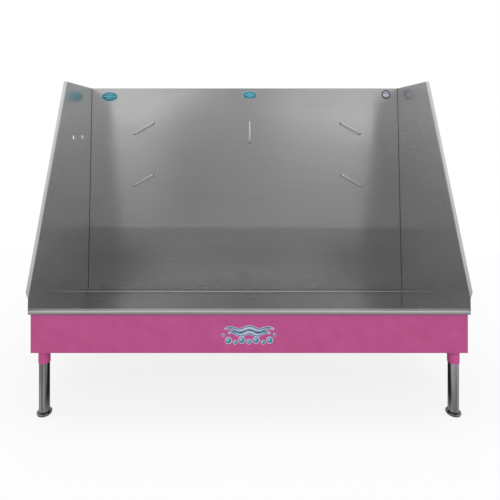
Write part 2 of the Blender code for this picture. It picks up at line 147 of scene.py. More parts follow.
# Stickers: layers of (share of the width, share of the height, lift, finish), and each one's name,
# place across and up, width, height and layers
OVAL_LAYERS = ((1.0, 1.0, 0.0, "mist"), (0.92, 0.88, 0.0, "petrol"), (0.88, 0.80, 0.0, "teal"),
               (0.80, 0.13, 0.02, "aqua"), (0.40, 0.10, 0.42, "aqua"), (0.44, 0.10, -0.40, "aqua"))
ROUND_LAYERS = ((1.0, 1.0, 0.0, "plum"), (0.76, 0.76, 0.0, "lilac"), (0.70, 0.24, -0.16, "pale"),
                (0.56, 0.22, -0.42, "rose"))
STICKERS = (("left_oval_sticker", -0.650, 1.122, 0.080, 0.046, OVAL_LAYERS),
            ("middle_oval_sticker", 0.024, 1.129, 0.074, 0.039, OVAL_LAYERS),
            ("right_round_sticker", 0.680, 1.132, 0.044, 0.044, ROUND_LAYERS))

# Decal: waves as (lift, reach, swell, thickness) with layers of (finish, extra width), and bubbles as
# (across, up, radius) with layers of (finish, share of the radius, shift)
DECAL_HEIGHT = 0.281
DECAL_FINISHES = ("pale", "heather", "teal", "aqua")
WAVE_STEPS = 60
WAVE_BENDS = 2.5
WAVE_TIP = 0.0006
WAVES = ((0.021, 0.082, 0.0045, 0.0052), (0.007, 0.070, 0.0042, 0.0050))
WAVE_LAYERS = ((0, 0.0030), (1, 0.0013), (2, 0.0002), (0, -0.0026))
BUBBLES = ((-0.069, -0.017, 0.0120), (-0.047, -0.023, 0.0080), (-0.025, -0.016, 0.0120),
           (-0.001, -0.021, 0.0095), (0.023, -0.016, 0.0120), (0.046, -0.023, 0.0080),
           (0.068, -0.016, 0.0120), (-0.086, 0.001, 0.0060), (0.085, 0.002, 0.0060))
BUBBLE_LAYERS = ((0, 1.0, 0.0), (1, 0.80, 0.0), (2, 0.66, 0.0), (3, 0.44, 0.14), (0, 0.20, 0.28))

# Colours of the steel and the coat, the share of its tone that steel keeps under painted shade, how
# strongly brushing draws out a highlight, and the stretch of a texture without grain and with an upright
# one
STEEL = (0.68, 0.682, 0.685)
PINK = (0.50, 0.066, 0.245)
PAINTED_SHADE_SHARE = 0.76
BRUSHING = 0.55
EVEN = (1.0, 1.0, 1.0)
UP_GRAIN = (1.0, 1.0, 0.02)

# Painted reflection edge on the back panel, a tone step that stands for a mirrored edge: its height, how
# soft it is and how far it sways, how far up the sheet is painted paler, and how far down its painted
# darker tone ends and is full
REFLECTION_EDGE_HEIGHT = 0.500
REFLECTION_EDGE_BLUR = 0.007
REFLECTION_EDGE_SWAY = 0.005
REFLECTION_PALER_REACH = 0.13
REFLECTION_DARKER_REACH = (0.11, 0.04)

# Depth of the basin's rim, which is painted paler as a painted highlight, with its soft end, the drops
# over which its satin top begins, and the width of the wear along the apron's edges
RIM_DEPTH = 0.030
RIM_BLUR = 0.002
RIM_TOP = (0.006, 0.003)
EDGE_WEAR = 0.0065

# Camera, standing before the tub and looking level along +Y
CAMERA_PLACE = (-0.0484, -1.7022, 0.9746)
CAMERA_LENS = 29.99
CAMERA_SENSOR = 36.0
CAMERA_SHIFT = (0.0306, -0.2456)
CAMERA_REACH = 100.0

# World and floor: the fill light, the floor's size, and where and how far it turns white
WHITE = (1.0, 1.0, 1.0, 1.0)
FILL_STRENGTH = 0.72
FLOOR_SIZE = 30.0
FLOOR_DROP = 0.0005
FLOOR_COLOUR = (0.86, 0.86, 0.86, 1.0)
FLOOR_FADE = (0.9, 2.6)
FLOOR_WHITE = (0.84, 1.0)

# Softboxes: name, place, target, size and power
SOFTBOXES = (("overhead_softbox", (0.0, -0.1, 3.3), (0.0, -0.1, 0.0), (2.6, 1.4), 34.0),
             ("front_softbox", (0.0, -2.5, 3.0), (0.0, 0.0, 0.8), (2.6, 1.1), 26.0))

# Reflector cards: where they start, the front and rear walls, their foot, top, bend and half their width
CARD_NEAR = 0.9
CARD_FAR = 3.4
CARD_REAR = 2.8
CARD_FOOT = 0.004
CARD_TOP = 5.2
CARD_BEND = 0.6
CARD_HALF = 3.4

# Glow of the front card, as lines through (place in metres, strength) points
FLOOR_GLOW = ((-2.2, 0.0), (-1.1, 0.13))
WALL_GLOW = ((0.0, 0.21), (0.12, 0.32), (0.7, 0.32), (1.6, 0.39), (1.95, 0.48), (2.8, 0.26))
LEFT_SPREAD = ((1.5, 0.0), (2.1, 0.8))
LEFT_PATCH = ((-1.5, 1.12), (-0.8, 0.0))
RIGHT_PATCH = ((0.1, 0.0), (0.8, 0.70), (1.6, 0.95))
PATCH_ENDS = ((1.85, 1.0), (2.15, 0.25))
PATCH_RISE = ((0.3, 0.0), (0.9, 0.13), (1.5, 0.38), (2.0, 0.36), (2.8, 0.18))
FLANK_ASIDE = ((1.9, 0.0), (2.4, 1.0))
FLANK_RISE = ((1.4, 0.08), (3.6, 0.70))
DIP_ACROSS = ((-1.05, 0.0), (-0.80, 0.09), (-0.55, 0.09), (-0.25, 0.0))
DIP_RISE = ((0.3, 0.3), (0.9, 1.0), (1.4, 1.0), (1.65, 0.0))
SHADE_ASIDE = ((0.58, 1.0), (0.70, 0.0))
SHADE_DEPTH = ((-0.42, 0.0), (-0.30, 1.0), (0.18, 1.0), (0.30, 0.0))
SHADE_SHARE = 0.92

# Glow of the ceiling card along the depth, and of the rear card up its height
CEILING_GLOW = ((-1.5, 1.0), (1.0, 0.9))
REAR_GLOW = ((0.0, 0.75), (1.2, 0.42))


# Node trees and materials

class Tree:
    """A node tree, with short calls for the nodes that the finishes and the stage share."""

    def __init__(self, owner):
        owner.use_nodes = True
        self.nodes = owner.node_tree.nodes
        self.links = owner.node_tree.links
        self.place = None

    def add(self, kind, **settings):
        node = self.nodes.new(kind)
        for key, value in settings.items():
            setattr(node, key, value)
        return node

    def join(self, output, target):
        self.links.new(output, target)

    def own_place(self):
        """Place of the shaded point in the object's own metres."""
        if self.place is None:
            self.place = self.add("ShaderNodeTexCoord").outputs["Object"]
        return self.place

    def parts(self, vector):
        """The three numbers of a vector."""
        node = self.add("ShaderNodeSeparateXYZ")
        self.join(vector, node.inputs["Vector"])
        return node.outputs

    def math(self, operation, first, second=0.0):
        node = self.add("ShaderNodeMath", operation=operation)
        for socket, value in zip(node.inputs, (first, second)):
            if isinstance(value, float):
                socket.default_value = value
            else:
                self.join(value, socket)
        return node.outputs["Value"]

    def remap(self, value, low, high, start=0.3, end=0.7, **settings):
        """Value brought from start..end to low..high."""
        node = self.add("ShaderNodeMapRange", **settings)
        node.inputs["From Min"].default_value = start
        node.inputs["From Max"].default_value = end
        node.inputs["To Min"].default_value = low
        node.inputs["To Max"].default_value = high
        self.join(value, node.inputs["Value"])
        return node.outputs["Result"]

    def line(self, value, points):
        """Height of a smooth line through (value, height) points."""
        total = None
        for (start, low), (end, high) in zip(points, points[1:]):
            if total is None:
                total = self.remap(value, low, high, start, end, interpolation_type="SMOOTHSTEP")
            else:
                rise = self.remap(value, 0.0, high - low, start, end, interpolation_type="SMOOTHSTEP")
                total = self.math("ADD", total, rise)
        return total

    def seen_share(self):
        """1 for rays from the camera, a glossy or a clear surface, and 0 for the light on things."""
        path = self.add("ShaderNodeLightPath").outputs
        mirrored = self.math("MAXIMUM", path["Is Camera Ray"], path["Is Glossy Ray"])
        return self.math("MAXIMUM", mirrored, path["Is Transmission Ray"])

    def end_in(self, output, share, first, second):
        """Blend of two shaders, by a share from 0 to 1, as the surface of the named output."""
        mix = self.add("ShaderNodeMixShader")
        for socket, source in zip(mix.inputs, (share, first, second)):
            self.join(source, socket)
        self.join(mix.outputs["Shader"], self.nodes[output].inputs["Surface"])


class Finish(Tree):
    """A material, with short calls for the textures and blends that finishes are made of."""

    def __init__(self, name, metallic=0.0):
        self.material = bpy.data.materials.new(name)
        super().__init__(self.material)
        self.shader = self.nodes["Principled BSDF"]
        self.shader.inputs["Metallic"].default_value = metallic

    def noise(self, scale, detail=3.0, stretch=EVEN):
        """Noise over the object's own metres; stretch above 1 packs it closer along that axis."""
        mapping = self.add("ShaderNodeMapping")
        mapping.inputs["Scale"].default_value = [scale * factor for factor in stretch]
        self.join(self.own_place(), mapping.inputs["Vector"])
        node = self.add("ShaderNodeTexNoise")
        node.inputs["Scale"].default_value = 1.0
        node.inputs["Detail"].default_value = detail
        self.join(mapping.outputs["Vector"], node.inputs["Vector"])
        return node.outputs["Fac"]

    def blend(self, share, first, second):
        """Colour between two colours, by a share from 0 to 1."""
        node = self.add("ShaderNodeMix", data_type="RGBA")
        self.join(share, node.inputs["Factor"])
        for name, value in (("A", first), ("B", second)):
            socket = [item for item in node.inputs if item.name == name and item.type == "RGBA"][0]
            if isinstance(value, tuple):
                socket.default_value = (*value, 1.0)
            else:
                self.join(value, socket)
        return [item for item in node.outputs if item.type == "RGBA"][0]

    def axis(self, letter):
        return self.parts(self.own_place())[letter]

    def bump(self, layers):
        """Layers are (height, depth in metres) pairs, laid over each other."""
        normal = None
        for height, depth in layers:
            node = self.add("ShaderNodeBump")
            node.inputs["Distance"].default_value = depth
            node.inputs["Strength"].default_value = 1.0
            self.join(height, node.inputs["Height"])
            if normal:
                self.join(normal, node.inputs["Normal"])
            normal = node.outputs["Normal"]
        self.join(normal, self.shader.inputs["Normal"])

    def surface(self, colour, roughness):
        self.join(colour, self.shader.inputs["Base Color"])
        self.join(roughness, self.shader.inputs["Roughness"])
        return self.material


def scaled(colour, factor):
    return tuple(part * factor for part in colour)


def painted_reflection_edge(finish, tone, colour, sway, level):
    """Tone with a painted reflection edge at a level on the sheet's front: painted paler reflection above
    it and painted darker reflection below.
    """
    height = finish.math("ADD", finish.axis("Z"), finish.remap(sway, -REFLECTION_EDGE_SWAY, REFLECTION_EDGE_SWAY))
    facing = finish.parts(finish.add("ShaderNodeNewGeometry").outputs["Normal"])
    front = finish.remap(facing["Y"], 1.0, 0.0, -0.5, 0.0)
    low = finish.remap(height, 1.0, 0.0, level - REFLECTION_EDGE_BLUR, level + REFLECTION_EDGE_BLUR)
    under = finish.math("MULTIPLY", front, low)
    over = finish.math("SUBTRACT", front, under)
    rise = finish.remap(height, 0.60, 0.0, level, level + REFLECTION_PALER_REACH)
    fall = finish.remap(height, 0.0, 0.60, *(level - drop for drop in REFLECTION_DARKER_REACH))
    tone = finish.blend(finish.math("MULTIPLY", over, rise), tone, scaled(colour, 1.14))
    return finish.blend(finish.math("MULTIPLY", under, fall), tone, scaled(colour, 0.79))


def brushed_steel(name, grain, colour, roughness, painted_shade=None, satin_and_highlight_rim=None, reflection_edge=None):
    """Brushed sheet: fine streaks along the grain, handling marks, dried runs and a slightly wavy surface.

    Painted_shade, as (axis letter, lit place, shaded place, change of roughness), darkens it along that
    axis as painted shade and changes its roughness.
    Satin_and_highlight_rim, as (height, depth), makes what lies before that depth paler, a painted
    highlight, and its top rougher. Reflection_edge is the height of a painted reflection edge on the
    front, painted paler above and painted darker below."""
    finish = Finish(name, metallic=1.0)
    along = "XYZ".index(grain)
    streaks = list(EVEN)
    streaks[along] = 0.012
    drawn = list(EVEN)
    drawn[along] = 0.35
    fine = finish.noise(900.0, 2.0, streaks)
    coarse = finish.noise(420.0, 2.0, streaks)
    smudge = finish.noise(5.5, 1.5, drawn)
    film = finish.noise(1.7, 2.0, drawn)
    runs = finish.noise(26.0, 2.0, (1.0, 1.0, 0.16))
    wave = finish.noise(1.9, 0.0)

    tone = finish.blend(finish.remap(film, 0.0, 1.0), scaled(colour, 0.92), scaled(colour, 1.09))
    tone = finish.blend(finish.remap(smudge, 0.0, 0.6), tone, scaled(colour, 0.87))
    tone = finish.blend(finish.remap(runs, 0.0, 0.35), tone, scaled(colour, 0.90))
    tone = finish.blend(finish.remap(coarse, 0.0, 0.22), tone, scaled(colour, 1.10))
    rough = finish.math("ADD", finish.remap(smudge, -0.03, 0.04), roughness)
    rough = finish.math("ADD", rough, finish.remap(fine, -0.015, 0.015))
    # Painted shade: the tone darkens from the lit place to the shaded place along the axis, and the
    # roughness changes with it
    if painted_shade:
        letter, lit_place, shaded_place, change = painted_shade
        tone_mask = finish.remap(finish.axis(letter), 0.0, 1.0, lit_place, shaded_place)
        tone = finish.blend(tone_mask, tone, scaled(colour, PAINTED_SHADE_SHARE))
        rough = finish.math("ADD", rough, finish.math("MULTIPLY", tone_mask, change))
    # Painted reflection edge: a tone step on the sheet's front, painted paler above and painted darker
    # below
    if reflection_edge:
        tone = painted_reflection_edge(finish, tone, colour, film, reflection_edge)
    # Rim: painted paler as a painted highlight, and its top rougher
    if satin_and_highlight_rim:
        height, depth = satin_and_highlight_rim
        high = finish.remap(finish.axis("Z"), 0.0, 1.0, *(height - drop for drop in RIM_TOP))
        fore = finish.remap(finish.axis("Y"), 1.0, 0.0, depth, depth + RIM_BLUR)
        rim = finish.math("MULTIPLY", high, fore)
        tone = finish.blend(fore, tone, scaled(colour, 1.15))
        rough = finish.math("ADD", rough, finish.remap(rim, 0.0, 0.20, 0.0, 1.0))
    finish.bump([(wave, 0.0022), (coarse, 0.000003), (fine, 0.000002)])

    across = finish.add("ShaderNodeVectorMath", operation="CROSS_PRODUCT")
    normal = finish.add("ShaderNodeNewGeometry").outputs["Normal"]
    finish.join(normal, across.inputs[0])
    across.inputs[1].default_value = [float(index == along) for index in range(3)]
    finish.shader.inputs["Anisotropic"].default_value = BRUSHING
    finish.join(across.outputs["Vector"], finish.shader.inputs["Tangent"])
    return finish.surface(tone, rough)


def drawn_steel(name, colour, roughness, grain=UP_GRAIN, reflection_banding=0.0):
    """Drawn tube and turned steel, with faint lines along the given stretch and paler and darker bands;
    the darker bands of reflection_banding are painted reflections.
    """
    finish = Finish(name, metallic=1.0)
    lines = finish.noise(700.0, 2.0, grain)
    cloud = finish.noise(22.0, 4.0)
    tone = finish.blend(finish.remap(cloud, 0.0, 1.0), scaled(colour, 0.88), scaled(colour, 1.10))
    tone = finish.blend(finish.remap(lines, 0.0, 0.25), tone, scaled(colour, 1.15))
    # Darker bands along the grain: painted reflection stripes
    if reflection_banding:
        reflection_bands = finish.noise(150.0, 0.5, grain)
        tone = finish.blend(finish.remap(reflection_bands, 0.0, reflection_banding, 0.40, 0.60), tone, scaled(colour, 0.45))
    rough = finish.math("ADD", finish.remap(cloud, -0.04, 0.05), roughness)
    finish.bump([(lines, 0.00001), (cloud, 0.00004)])
    return finish.surface(tone, rough)


def weld_steel(name, colour):
    """Cleaned weld metal: small ripples with a faint warm heat tint."""
    finish = Finish(name, metallic=1.0)
    ripple = finish.noise(650.0, 2.0)
    tint = finish.noise(60.0, 3.0)
    warm = (colour[0], colour[1] * 0.93, colour[2] * 0.82)
    tone = finish.blend(finish.remap(tint, 0.0, 1.0), colour, warm)
    finish.bump([(ripple, 0.00012)])
    return finish.surface(tone, finish.remap(ripple, 0.28, 0.42))


def powder_coat(name, colour, box=None):
    """Powder coat: orange peel, slight cloudiness, and a duller tone along the edges of a box's front."""
    finish = Finish(name)
    peel = finish.noise(420.0, 2.0)
    cloud = finish.noise(26.0, 5.0)
    fleck = finish.noise(1400.0, 1.0)
    tone = finish.blend(finish.remap(cloud, 0.0, 1.0), scaled(colour, 0.93), scaled(colour, 1.06))
    tone = finish.blend(finish.remap(fleck, 0.0, 0.16), tone, scaled(colour, 1.35))
    if box:
        low, high = box
        tone_mask = None
        for letter, start, end in (("X", low.x, high.x), ("Z", low.z, high.z)):
            place = finish.axis(letter)
            for edge, inward in ((start, 1.0), (end, -1.0)):
                near = finish.remap(place, 1.0, 0.0, edge, edge + inward * EDGE_WEAR)
                tone_mask = near if tone_mask is None else finish.math("MAXIMUM", tone_mask, near)
        tone_mask = finish.math("MULTIPLY", tone_mask, finish.remap(cloud, 0.25, 0.75))
        tone = finish.blend(tone_mask, tone, (colour[0] * 0.80, colour[1] * 1.05, colour[2] * 0.98))
    finish.bump([(cloud, 0.0002), (peel, 0.00006)])
    return finish.surface(tone, finish.remap(cloud, 0.36, 0.46))


def plated_zinc(name, colour):
    finish = Finish(name, metallic=1.0)
    cloud = finish.noise(90.0, 4.0)
    fine = finish.noise(900.0, 2.0)
    warm = (colour[0] * 1.04, colour[1], colour[2] * 0.86)
    tone = finish.blend(finish.remap(cloud, 0.0, 1.0), colour, warm)
    finish.bump([(fine, 0.00002)])
    return finish.surface(tone, finish.remap(cloud, 0.28, 0.44))


def moulded_rubber(name, colour):
    finish = Finish(name)
    cloud = finish.noise(60.0, 4.0)
    fine = finish.noise(1500.0, 2.0)
    tone = finish.blend(finish.remap(cloud, 0.0, 1.0), colour, scaled(colour, 1.9))
    finish.bump([(fine, 0.00004)])
    return finish.surface(tone, finish.remap(cloud, 0.62, 0.82))


def pressed_fibre(name, colour):
    finish = Finish(name)
    strands = finish.noise(420.0, 3.0, (1.0, 0.15, 1.0))
    tone = finish.blend(finish.remap(strands, 0.0, 1.0), scaled(colour, 0.8), scaled(colour, 1.5))
    finish.bump([(strands, 0.00005)])
    return finish.surface(tone, finish.remap(strands, 0.70, 0.90))


def printed_vinyl(name, colour, roughness=0.28):
    """Glossy printed film with faint dot grain and slight fading."""
    finish = Finish(name)
    fade = finish.noise(70.0, 3.0)
    dots = finish.noise(2600.0, 1.0)
    tone = finish.blend(finish.remap(fade, 0.0, 1.0), scaled(colour, 0.90), scaled(colour, 1.10))
    tone = finish.blend(finish.remap(dots, 0.0, 0.12), tone, scaled(colour, 1.3))
    finish.bump([(fade, 0.00008)])
    return finish.surface(tone, finish.remap(fade, roughness - 0.04, roughness + 0.06))


basin_low, basin_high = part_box("basin")
FINISHES = {
    # Basin: a darker copy of the steel, and darker still towards the back, both painted shade of its
    # hollow
    "basin": brushed_steel("basin_steel", "X", scaled(STEEL, 0.85), 0.20, painted_shade=("Y", -0.05, 0.10, 0.06),
                           # Its rim is painted paler as a painted highlight
                           satin_and_highlight_rim=(basin_high.z, basin_low.y + RIM_DEPTH)),
    # Back panel steel with a painted reflection edge across its front: painted paler above, painted darker
    # below
    "back": brushed_steel("back_panel_steel", "X", STEEL, 0.235, reflection_edge=REFLECTION_EDGE_HEIGHT),
    # Side panels: darker towards the bottom as painted shade, and smoother there
    "side": brushed_steel("side_panel_steel", "Y", STEEL, 0.24, painted_shade=("Z", 0.56, 0.32, -0.12)),
    # Leg tubes: with darker bands that are painted reflection stripes
    "tube": drawn_steel("leg_tube_steel", (0.76, 0.76, 0.762), 0.18, reflection_banding=0.9),
    "turned": drawn_steel("turned_steel", (0.78, 0.78, 0.782), 0.32, EVEN),
    "foot": drawn_steel("foot_steel", (0.30, 0.30, 0.30), 0.24, EVEN),
    "rod": drawn_steel("bar_rod_steel", (0.86, 0.86, 0.862), 0.30, EVEN),
    # Dark weld metal; beside the corner seams it is painted shade of the gap between the panels
    "weld": weld_steel("weld_metal", (0.27, 0.27, 0.27)),
    # Sockets and rails: a lighter copy of the apron's pink, painted light that makes up for the shade
    # under the apron
    "pink": powder_coat("pink_coat", scaled(PINK, 1.12)),
    "apron": powder_coat("pink_coat_apron", PINK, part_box("front_apron")),
    "zinc": plated_zinc("zinc_plate", (0.56, 0.57, 0.60)),
    "rubber": moulded_rubber("black_rubber_moulded", (0.018, 0.018, 0.019)),
    "fibre": pressed_fibre("red_fibre_washer", (0.11, 0.032, 0.02)),
    "teal": printed_vinyl("teal_vinyl", (0.030, 0.225, 0.290)),
    "aqua": printed_vinyl("aqua_vinyl", (0.13, 0.43, 0.52)),
    "pale": printed_vinyl("pale_vinyl", (0.56, 0.57, 0.70)),
    "lilac": printed_vinyl("lilac_vinyl", (0.31, 0.27, 0.36)),
    "plum": printed_vinyl("plum_vinyl", (0.062, 0.055, 0.078)),
    "heather": printed_vinyl("heather_vinyl", (0.23, 0.16, 0.42)),
    "rose": printed_vinyl("rose_vinyl", (0.46, 0.33, 0.40)),
    "mist": printed_vinyl("mist_vinyl", (0.36, 0.47, 0.52)),
    "petrol": printed_vinyl("petrol_vinyl", (0.020, 0.110, 0.150)),
    "seam": weld_steel("seam_metal", (0.44, 0.44, 0.442)),
}


# Mesh tools

def rounded(outline):
    """Outline of (across, up, corner radius) points, with an arc at each corner that has a radius."""
    smooth = []
    for index, (across, up, radius) in enumerate(outline):
        corner = Vector((across, up))
        if radius == 0:
            smooth.append(corner)
            continue
        back = (Vector(outline[index - 1][:2]) - corner).normalized()
        ahead = (Vector(outline[(index + 1) % len(outline)][:2]) - corner).normalized()
        half = back.angle(ahead) / 2
        reach = radius / math.tan(half)
        centre = corner + (back + ahead).normalized() * radius / math.sin(half)
        start = corner + back * reach - centre
        turn = start.angle_signed(corner + ahead * reach - centre)
        for step in range(ARC_STEPS + 1):
            smooth.append(centre + start @ Matrix.Rotation(turn * step / ARC_STEPS, 2))
    return smooth


def circle(sides):
    """Points of a unit circle, one to a side."""
    angles = [math.tau * step / sides for step in range(sides)]
    return [(math.cos(angle), math.sin(angle)) for angle in angles]


def headings(path):
    """Direction of a path of points at each of them."""
    return [(after - before).normalized()
            for before, after in zip(path[:1] + path, path[1:] + path[-1:])]


def settle(bm, faces, index):
    """Give new faces their finish and turn them outwards."""
    for face in faces:
        face.material_index = index
    bmesh.ops.recalc_face_normals(bm, faces=faces)


def bridge(bm, rings):
    """Faces between closed rings of as many vertices each."""
    made = []
    for first, second in zip(rings, rings[1:]):
        pairs = list(zip(first, second))
        for (here, there), (next_here, next_there) in zip(pairs, pairs[1:] + pairs[:1]):
            made.append(bm.faces.new((here, next_here, next_there, there)))
    return made


def skin(bm, rings, index=0):
    """Closed skin over rings of vertices, with a flat face at each end."""
    settle(bm, [bm.faces.new(rings[0]), bm.faces.new(rings[-1]), *bridge(bm, rings)], index)


def lathe(outline, sides=TURNED_SIDES, bm=None, matrix=None, index=0):
    """Solid of revolution about Z. An outline that starts on the axis also ends on it; others close up."""
    bm = bm or bmesh.new()
    matrix = matrix or Matrix.Identity(4)
    rings = []
    for across, up in rounded(outline):
        if across == 0:
            rings.append([bm.verts.new(matrix @ Vector((0.0, 0.0, up)))])
            continue
        rings.append([bm.verts.new(matrix @ Vector((across * cosine, across * sine, up)))
                      for cosine, sine in circle(sides)])
    pairs = list(zip(rings, rings[1:]))
    if outline[0][0] > 0:
        pairs.append((rings[-1], rings[0]))
    made = []
    for first, second in pairs:
        for step in range(sides):
            following = (step + 1) % sides
            corners = [first[step % len(first)], first[following % len(first)],
                       second[following % len(second)], second[step % len(second)]]
            made.append(bm.faces.new(list(dict.fromkeys(corners))))
    settle(bm, made, index)
    return bm


def swept(bm, path, radius, sides=ROD_SIDES, index=0):
    """Round rod along a path of points, with flat ends."""
    rings = []
    side = None
    for point, heading in zip(path, headings(path)):
        side = heading.orthogonal() if side is None else side - heading * side.dot(heading)
        side.normalize()
        other = heading.cross(side)
        rings.append([bm.verts.new(point + (side * cosine + other * sine) * radius)
                      for cosine, sine in circle(sides)])
    skin(bm, rings, index)


def mesh_object(name, bm, materials):
    """Object of a finished mesh, linked to the scene."""
    mesh = bpy.data.meshes.new(name)
    bm.to_mesh(mesh)
    bm.free()
    for material in materials:
        mesh.materials.append(material)
    made = bpy.data.objects.new(name, mesh)
    bpy.context.scene.collection.objects.link(made)
    return made


def body_of(node):
    for body, nodes in frame["record"]["behaviour"]["bodies"].items():
        if node in nodes:
            return body
    raise ValueError(node)


def piece(name, bm, finishes, body, nodes=()):
    """A finished mesh piece that rides on a body and stands for the given CAD nodes."""
    made = mesh_object(name, bm, [FINISHES[finish] for finish in finishes])
    made.data.shade_smooth()
    made.data.set_sharp_from_angle(angle=SMOOTH_ANGLE)
    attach(made, body)
    for node in nodes:
        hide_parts(node)


def centre_of(node):
    low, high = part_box(node)
    return (low + high) / 2


# Pieces

def dress_cad_nodes():
    """CAD nodes whose shape is right stay, with a fuller finish."""
    plan = {"basin": "basin", "back_panel": "back", "left_side_panel": "side", "right_side_panel": "side",
            "front_apron": "apron", "strainer_locknut": "zinc", "coupling_nut": "zinc",
            "strainer_gasket": "rubber", "friction_washer": "fibre", "tailpiece_washer": "fibre"}
    for node, item in frame["nodes"].items():
        finish = plan.get(node, "zinc" if node.endswith(("set_screw", "leg_insert")) else "turned")
        item.data.materials.clear()
        item.data.materials.append(FINISHES[finish])


def back_slope():
    """How far back the back panel's washing face runs for each metre up."""
    low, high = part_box("back_panel")
    return (high.y - PANEL_BACK_FLANGE - low.y) / (high.z - low.z)


def face_depth(height):
    """Depth of the back panel's washing face at a height."""
    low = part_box("back_panel")[0]
    return low.y + (height - low.z) * back_slope()


def panel_frame(x, height):
    """Matrix whose X and Y lie on the back panel's face, X to the right and Y up, with Z out of it."""
    turn = Matrix.Rotation(UPRIGHT - math.atan(back_slope()), 4, "X")
    return Matrix.Translation((x, face_depth(height), height)) @ turn


def restraint_bar(name, tilt):
    """Bent rod with a weld bead at each end, in the place of its CAD node."""
    low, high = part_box(name)
    middle = (low + high) / 2
    if tilt == UPRIGHT:
        span = high.z - low.z
    else:
        span = (high.x - low.x - BAR_ROD) / math.cos(tilt) + BAR_ROD
    rod = BAR_ROD / 2
    half = (span - BAR_ROD) / 2
    standoff = face_depth(middle.z) - low.y - rod
    place = panel_frame(middle.x, middle.z) @ Matrix.Rotation(tilt, 4, "Z")
    path = rounded([(-half, GAP, 0), (-half, standoff, BAR_BEND),
                    (half, standoff, BAR_BEND), (half, GAP, 0)])
    bm = bmesh.new()
    swept(bm, [place @ Vector((along, 0.0, out)) for along, out in path], rod)
    crown = GAP + BEAD_HEIGHT
    bead = [(0.0, crown, 0), (rod * BEAD_CROWN, crown, 0),
            (rod + BEAD_WIDTH * BEAD_WAIST, GAP + BEAD_HEIGHT / 2, BEAD_ROUND),
            (rod + BEAD_WIDTH, GAP, 0), (0.0, GAP, 0)]
    for along in (-half, half):
        lathe(bead, SMALL_SIDES, bm, place @ Matrix.Translation((along, 0.0, 0.0)), index=1)
    piece(f"{name}_rod", bm, ("rod", "weld"), body_of(name), [name])


def restraint_bars():
    for row in ("upper", "lower"):
        restraint_bar(f"{row}_left_restraint_bar", BAR_TILT)
        restraint_bar(f"{row}_right_restraint_bar", -BAR_TILT)
    restraint_bar("middle_restraint_bar", UPRIGHT)


def turned_piece(node, outline, finish):
    """Turned piece in the place of a CAD node, on the node's own vertical axis."""
    middle = centre_of(node)
    bm = lathe(outline)
    bm.transform(Matrix.Translation((middle.x, middle.y, 0.0)))
    piece(f"{node}_turned", bm, (finish,), body_of(node), [node])


def threaded(bm, place, radius, low, high):
    """Rod along Z with a helical thread that fades out at both ends."""
    turns = (high - low) / THREAD_PITCH
    count = round(turns * THREAD_STEPS)
    rings = []
    for level in range(count + 1):
        along = level / count
        fade = min(1.0, along * turns, (1.0 - along) * turns)
        ring = []
        for side, (cosine, sine) in enumerate(circle(THREAD_SIDES)):
            phase = (along * turns - side / THREAD_SIDES) % 1.0
            reach = radius - THREAD_DEPTH * (1.0 - fade + fade * (1.0 - abs(2.0 * phase - 1.0)))
            point = Vector((reach * cosine, reach * sine, low + (high - low) * along))
            ring.append(bm.verts.new(place @ point))
        rings.append(ring)
    skin(bm, rings)


def leg(place):
    """Tube, socket with its screw boss, foot, threaded stud and pad of one leg."""
    low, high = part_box(f"{place}_leg_tube")
    middle = (low + high) / 2
    radius = (high.x - low.x) / 2
    top = high.z + GAP
    tube = [(radius, low.z, EDGE), (radius, high.z, EDGE),
            (radius - TUBE_WALL, high.z, EDGE), (radius - TUBE_WALL, low.z, EDGE)]
    turned_piece(f"{place}_leg_tube", tube, "tube")

    low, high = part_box(f"{place}_leg_socket")
    inner = radius + GAP
    outer = inner + TUBE_WALL
    bm = lathe([(0.0, high.z, 0), (outer, high.z, EDGE), (outer, low.z, EDGE), (inner, low.z, EDGE),
                (inner, top, 0), (0.0, top, 0)], matrix=Matrix.Translation((middle.x, middle.y, 0.0)))
    screw = centre_of(f"{place}_set_screw")
    heading = Vector((screw.x - middle.x, screw.y - middle.y, 0.0)).normalized()
    turn = heading.to_track_quat("Z", "Y").to_matrix().to_4x4()
    boss = [(SCREW_RADIUS + GAP, outer - TUBE_WALL / 2, 0), (BOSS_RADIUS, outer - TUBE_WALL / 2, 0),
            (BOSS_RADIUS, outer + BOSS_LENGTH, EDGE), (SCREW_RADIUS + GAP, outer + BOSS_LENGTH, EDGE)]
    lathe(boss, SMALL_SIDES, bm, Matrix.Translation((middle.x, middle.y, screw.z)) @ turn)
    piece(f"{place}_leg_socket_turned", bm, ("pink",), "tub", [f"{place}_leg_socket"])

    low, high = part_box(f"{place}_foot_base")
    foot = (high.x - low.x) / 2
    flange = low.z + FOOT_FLANGE
    stud = f"{place}_foot_stud"
    stud_low, stud_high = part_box(stud)
    stud_radius = (stud_high.x - stud_low.x) / 2
    bore = stud_radius + GAP
    seat = stud_low.z - GAP
    base = [(0.0, seat, 0), (bore, seat, 0), (bore, high.z, EDGE), (FOOT_BOSS, high.z, EDGE),
            (FOOT_BOSS + FOOT_NECK, flange, FOOT_FILLET), (foot, flange, FOOT_CORNER),
            (foot, low.z, FOOT_UNDERCUT), (0.0, low.z, 0)]
    turned_piece(f"{place}_foot_base", base, "foot")

    bm = bmesh.new()
    threaded(bm, Matrix.Translation((middle.x, middle.y, 0.0)), stud_radius, stud_low.z, stud_high.z)
    piece(f"{stud}_threaded", bm, ("zinc",), body_of(stud), [stud])

    low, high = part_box(f"{place}_foot_pad")
    pad = (high.x - low.x) / 2
    rubber = [(0.0, high.z, 0), (pad, high.z, PAD_TOP_EDGE), (pad, low.z, PAD_EDGE), (0.0, low.z, 0)]
    turned_piece(f"{place}_foot_pad", rubber, "rubber")


